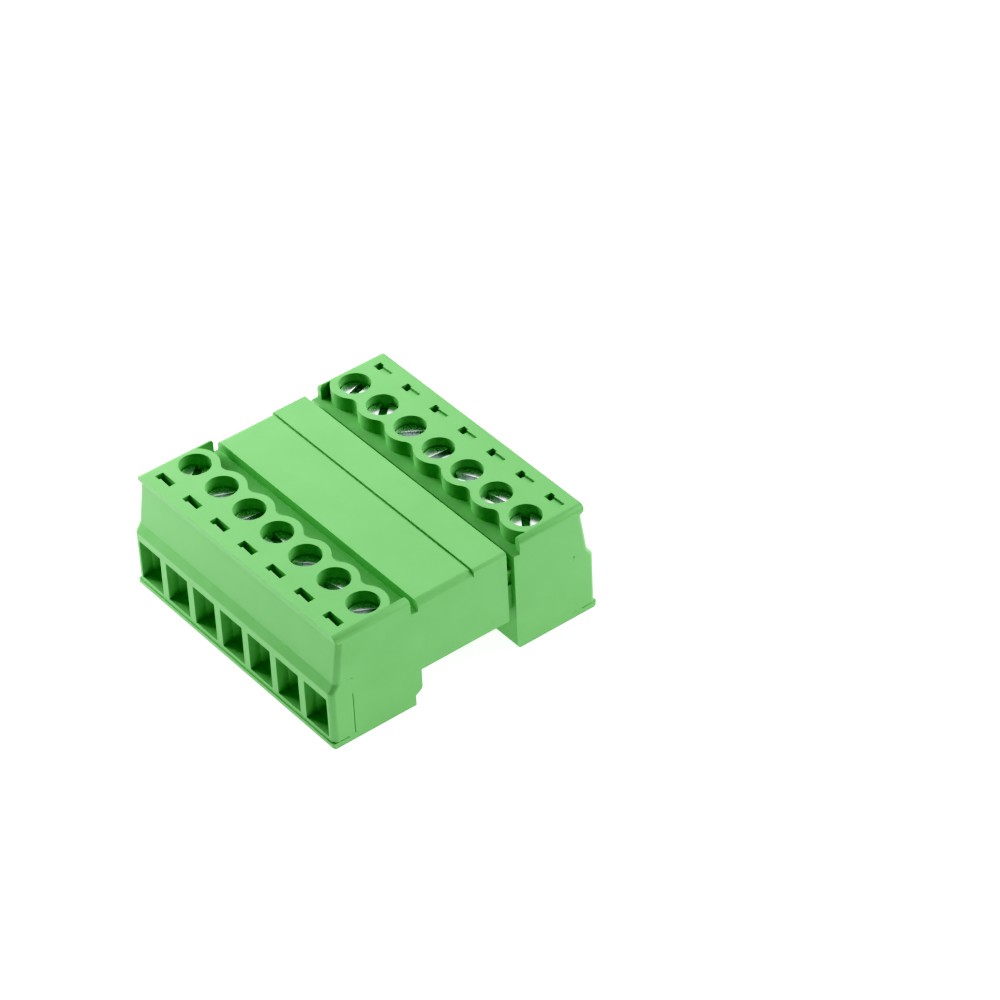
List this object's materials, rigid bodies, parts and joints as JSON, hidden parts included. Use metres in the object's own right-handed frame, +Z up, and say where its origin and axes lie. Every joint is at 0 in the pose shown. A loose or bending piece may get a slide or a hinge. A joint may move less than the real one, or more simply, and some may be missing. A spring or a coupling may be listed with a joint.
{
  "type": "pluggable terminal block",
  "caption": "Wire-to-wire pluggable terminal block: a mated pin header and socket plug in green housings, each with a row of rising cage clamps worked by slotted screws.",
  "frame": {"origin": "middle of the base, on the surface that both halves stand on", "axes": "+X along the row of poles, +Y from the header to the plug, the way the plug pulls off, +Z up"},
  "size_m": [0.0272, 0.027, 0.0111],
  "materials": {
    "housing_green": "satin moulded",
    "screw_steel": "bright zinc plated",
    "cage_steel": "nickel plated",
    "tinned_contact": "tin plated"
  },
  "bodies": {
    "header": {"header_housing": "housing_green", "header_cover": "housing_green", "header_pin_1": "tinned_contact", "header_pin_2": "tinned_contact", "header_pin_3": "tinned_contact", "header_pin_4": "tinned_contact", "header_pin_5": "tinned_contact", "header_pin_6": "tinned_contact", "header_pin_7": "tinned_contact"},
    "plug": {"plug_housing": "housing_green", "plug_cover": "housing_green", "plug_socket_1": "tinned_contact", "plug_socket_2": "tinned_contact", "plug_socket_3": "tinned_contact", "plug_socket_4": "tinned_contact", "plug_socket_5": "tinned_contact", "plug_socket_6": "tinned_contact", "plug_socket_7": "tinned_contact"},
    "header_screw_1": {"header_screw_1": "screw_steel"},
    "header_cage_1": {"header_cage_1": "cage_steel"},
    "header_screw_2": {"header_screw_2": "screw_steel"},
    "header_cage_2": {"header_cage_2": "cage_steel"},
    "header_screw_3": {"header_screw_3": "screw_steel"},
    "header_cage_3": {"header_cage_3": "cage_steel"},
    "header_screw_4": {"header_screw_4": "screw_steel"},
    "header_cage_4": {"header_cage_4": "cage_steel"},
    "header_screw_5": {"header_screw_5": "screw_steel"},
    "header_cage_5": {"header_cage_5": "cage_steel"},
    "header_screw_6": {"header_screw_6": "screw_steel"},
    "header_cage_6": {"header_cage_6": "cage_steel"},
    "header_screw_7": {"header_screw_7": "screw_steel"},
    "header_cage_7": {"header_cage_7": "cage_steel"},
    "plug_screw_1": {"plug_screw_1": "screw_steel"},
    "plug_cage_1": {"plug_cage_1": "cage_steel"},
    "plug_screw_2": {"plug_screw_2": "screw_steel"},
    "plug_cage_2": {"plug_cage_2": "cage_steel"},
    "plug_screw_3": {"plug_screw_3": "screw_steel"},
    "plug_cage_3": {"plug_cage_3": "cage_steel"},
    "plug_screw_4": {"plug_screw_4": "screw_steel"},
    "plug_cage_4": {"plug_cage_4": "cage_steel"},
    "plug_screw_5": {"plug_screw_5": "screw_steel"},
    "plug_cage_5": {"plug_cage_5": "cage_steel"},
    "plug_screw_6": {"plug_screw_6": "screw_steel"},
    "plug_cage_6": {"plug_cage_6": "cage_steel"},
    "plug_screw_7": {"plug_screw_7": "screw_steel"},
    "plug_cage_7": {"plug_cage_7": "cage_steel"}
  },
  "joints": [
    {"name": "plug_slide", "type": "slide", "parent": "header", "child": "plug", "axis": [0, 1, 0], "range_m": [0, 0.012]},
    {"name": "header_screw_1_turn", "type": "hinge", "parent": "header", "child": "header_screw_1", "pos_m": [-0.01143, -0.00819, 0.0095], "axis": [0, 0, -1], "range_deg": [0, 2341]},
    {"name": "header_cage_1_rise", "type": "slide", "parent": "header", "child": "header_cage_1", "axis": [0, 0, 1], "range_m": [0, 0.0026]},
    {"name": "header_screw_2_turn", "type": "hinge", "parent": "header", "child": "header_screw_2", "pos_m": [-0.00762, -0.00819, 0.0095], "axis": [0, 0, -1], "range_deg": [0, 2341]},
    {"name": "header_cage_2_rise", "type": "slide", "parent": "header", "child": "header_cage_2", "axis": [0, 0, 1], "range_m": [0, 0.0026]},
    {"name": "header_screw_3_turn", "type": "hinge", "parent": "header", "child": "header_screw_3", "pos_m": [-0.00381, -0.00819, 0.0095], "axis": [0, 0, -1], "range_deg": [0, 2341]},
    {"name": "header_cage_3_rise", "type": "slide", "parent": "header", "child": "header_cage_3", "axis": [0, 0, 1], "range_m": [0, 0.0026]},
    {"name": "header_screw_4_turn", "type": "hinge", "parent": "header", "child": "header_screw_4", "pos_m": [0, -0.00819, 0.0095], "axis": [0, 0, -1], "range_deg": [0, 2341]},
    {"name": "header_cage_4_rise", "type": "slide", "parent": "header", "child": "header_cage_4", "axis": [0, 0, 1], "range_m": [0, 0.0026]},
    {"name": "header_screw_5_turn", "type": "hinge", "parent": "header", "child": "header_screw_5", "pos_m": [0.00381, -0.00819, 0.0095], "axis": [0, 0, -1], "range_deg": [0, 2341]},
    {"name": "header_cage_5_rise", "type": "slide", "parent": "header", "child": "header_cage_5", "axis": [0, 0, 1], "range_m": [0, 0.0026]},
    {"name": "header_screw_6_turn", "type": "hinge", "parent": "header", "child": "header_screw_6", "pos_m": [0.00762, -0.00819, 0.0095], "axis": [0, 0, -1], "range_deg": [0, 2341]},
    {"name": "header_cage_6_rise", "type": "slide", "parent": "header", "child": "header_cage_6", "axis": [0, 0, 1], "range_m": [0, 0.0026]},
    {"name": "header_screw_7_turn", "type": "hinge", "parent": "header", "child": "header_screw_7", "pos_m": [0.01143, -0.00819, 0.0095], "axis": [0, 0, -1], "range_deg": [0, 2341]},
    {"name": "header_cage_7_rise", "type": "slide", "parent": "header", "child": "header_cage_7", "axis": [0, 0, 1], "range_m": [0, 0.0026]},
    {"name": "plug_screw_1_turn", "type": "hinge", "parent": "plug", "child": "plug_screw_1", "pos_m": [-0.01143, 0.00819, 0.0095], "axis": [0, 0, -1], "range_deg": [0, 2341]},
    {"name": "plug_cage_1_rise", "type": "slide", "parent": "plug", "child": "plug_cage_1", "axis": [0, 0, 1], "range_m": [0, 0.0026]},
    {"name": "plug_screw_2_turn", "type": "hinge", "parent": "plug", "child": "plug_screw_2", "pos_m": [-0.00762, 0.00819, 0.0095], "axis": [0, 0, -1], "range_deg": [0, 2341]},
    {"name": "plug_cage_2_rise", "type": "slide", "parent": "plug", "child": "plug_cage_2", "axis": [0, 0, 1], "range_m": [0, 0.0026]},
    {"name": "plug_screw_3_turn", "type": "hinge", "parent": "plug", "child": "plug_screw_3", "pos_m": [-0.00381, 0.00819, 0.0095], "axis": [0, 0, -1], "range_deg": [0, 2341]},
    {"name": "plug_cage_3_rise", "type": "slide", "parent": "plug", "child": "plug_cage_3", "axis": [0, 0, 1], "range_m": [0, 0.0026]},
    {"name": "plug_screw_4_turn", "type": "hinge", "parent": "plug", "child": "plug_screw_4", "pos_m": [0, 0.00819, 0.0095], "axis": [0, 0, -1], "range_deg": [0, 2341]},
    {"name": "plug_cage_4_rise", "type": "slide", "parent": "plug", "child": "plug_cage_4", "axis": [0, 0, 1], "range_m": [0, 0.0026]},
    {"name": "plug_screw_5_turn", "type": "hinge", "parent": "plug", "child": "plug_screw_5", "pos_m": [0.00381, 0.00819, 0.0095], "axis": [0, 0, -1], "range_deg": [0, 2341]},
    {"name": "plug_cage_5_rise", "type": "slide", "parent": "plug", "child": "plug_cage_5", "axis": [0, 0, 1], "range_m": [0, 0.0026]},
    {"name": "plug_screw_6_turn", "type": "hinge", "parent": "plug", "child": "plug_screw_6", "pos_m": [0.00762, 0.00819, 0.0095], "axis": [0, 0, -1], "range_deg": [0, 2341]},
    {"name": "plug_cage_6_rise", "type": "slide", "parent": "plug", "child": "plug_cage_6", "axis": [0, 0, 1], "range_m": [0, 0.0026]},
    {"name": "plug_screw_7_turn", "type": "hinge", "parent": "plug", "child": "plug_screw_7", "pos_m": [0.01143, 0.00819, 0.0095], "axis": [0, 0, -1], "range_deg": [0, 2341]},
    {"name": "plug_cage_7_rise", "type": "slide", "parent": "plug", "child": "plug_cage_7", "axis": [0, 0, 1], "range_m": [0, 0.0026]}
  ],
  "couplings": [
    {"joint": "header_screw_1_turn", "follows": "header_cage_1_rise", "rad_per_m": 15708},
    {"joint": "header_screw_2_turn", "follows": "header_cage_2_rise", "rad_per_m": 15708},
    {"joint": "header_screw_3_turn", "follows": "header_cage_3_rise", "rad_per_m": 15708},
    {"joint": "header_screw_4_turn", "follows": "header_cage_4_rise", "rad_per_m": 15708},
    {"joint": "header_screw_5_turn", "follows": "header_cage_5_rise", "rad_per_m": 15708},
    {"joint": "header_screw_6_turn", "follows": "header_cage_6_rise", "rad_per_m": 15708},
    {"joint": "header_screw_7_turn", "follows": "header_cage_7_rise", "rad_per_m": 15708},
    {"joint": "plug_screw_1_turn", "follows": "plug_cage_1_rise", "rad_per_m": 15708},
    {"joint": "plug_screw_2_turn", "follows": "plug_cage_2_rise", "rad_per_m": 15708},
    {"joint": "plug_screw_3_turn", "follows": "plug_cage_3_rise", "rad_per_m": 15708},
    {"joint": "plug_screw_4_turn", "follows": "plug_cage_4_rise", "rad_per_m": 15708},
    {"joint": "plug_screw_5_turn", "follows": "plug_cage_5_rise", "rad_per_m": 15708},
    {"joint": "plug_screw_6_turn", "follows": "plug_cage_6_rise", "rad_per_m": 15708},
    {"joint": "plug_screw_7_turn", "follows": "plug_cage_7_rise", "rad_per_m": 15708}
  ]
}
